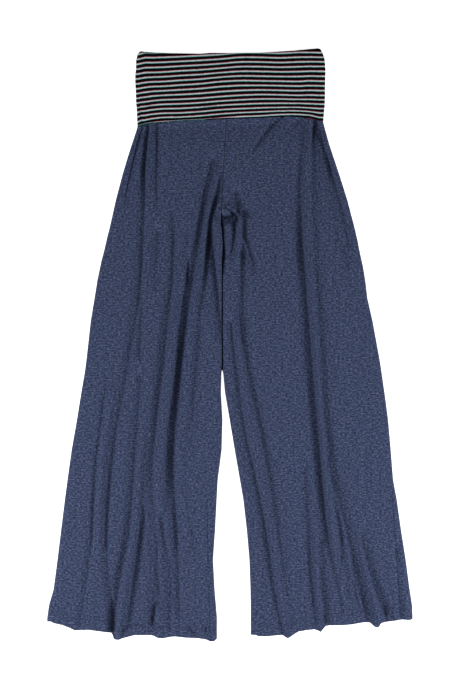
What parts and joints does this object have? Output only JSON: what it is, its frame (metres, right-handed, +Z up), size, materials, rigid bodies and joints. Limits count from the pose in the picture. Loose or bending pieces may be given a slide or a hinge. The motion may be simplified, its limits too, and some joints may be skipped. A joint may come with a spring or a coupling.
{
  "type": "flared trousers",
  "caption": "Wide-leg pull-on jersey trousers laid flat, front up, with a deep striped fold-over waistband, long soft folds down each leg and turned-up hems.",
  "frame": {"origin": "centre of the bounding box in X and Y, on the surface that the trousers lie on", "axes": "+X towards the right of the picture, the wearer's left leg; +Y from the hems to the waist; +Z up out of the front"},
  "size_m": [0.695, 1.1266, 0.0119],
  "materials": {
    "jersey": "heathered navy single jersey, soft and matt",
    "striped_rib": "black rib jersey with narrow pale grey stripes, matt"
  },
  "bodies": {
    "root": {"front_left_leg": "jersey", "front_right_leg": "jersey", "back_left_leg": "jersey", "back_right_leg": "jersey", "waistband_front": "striped_rib", "waistband_back": "striped_rib", "waistband_inner": "striped_rib"}
  },
  "joints": []
}
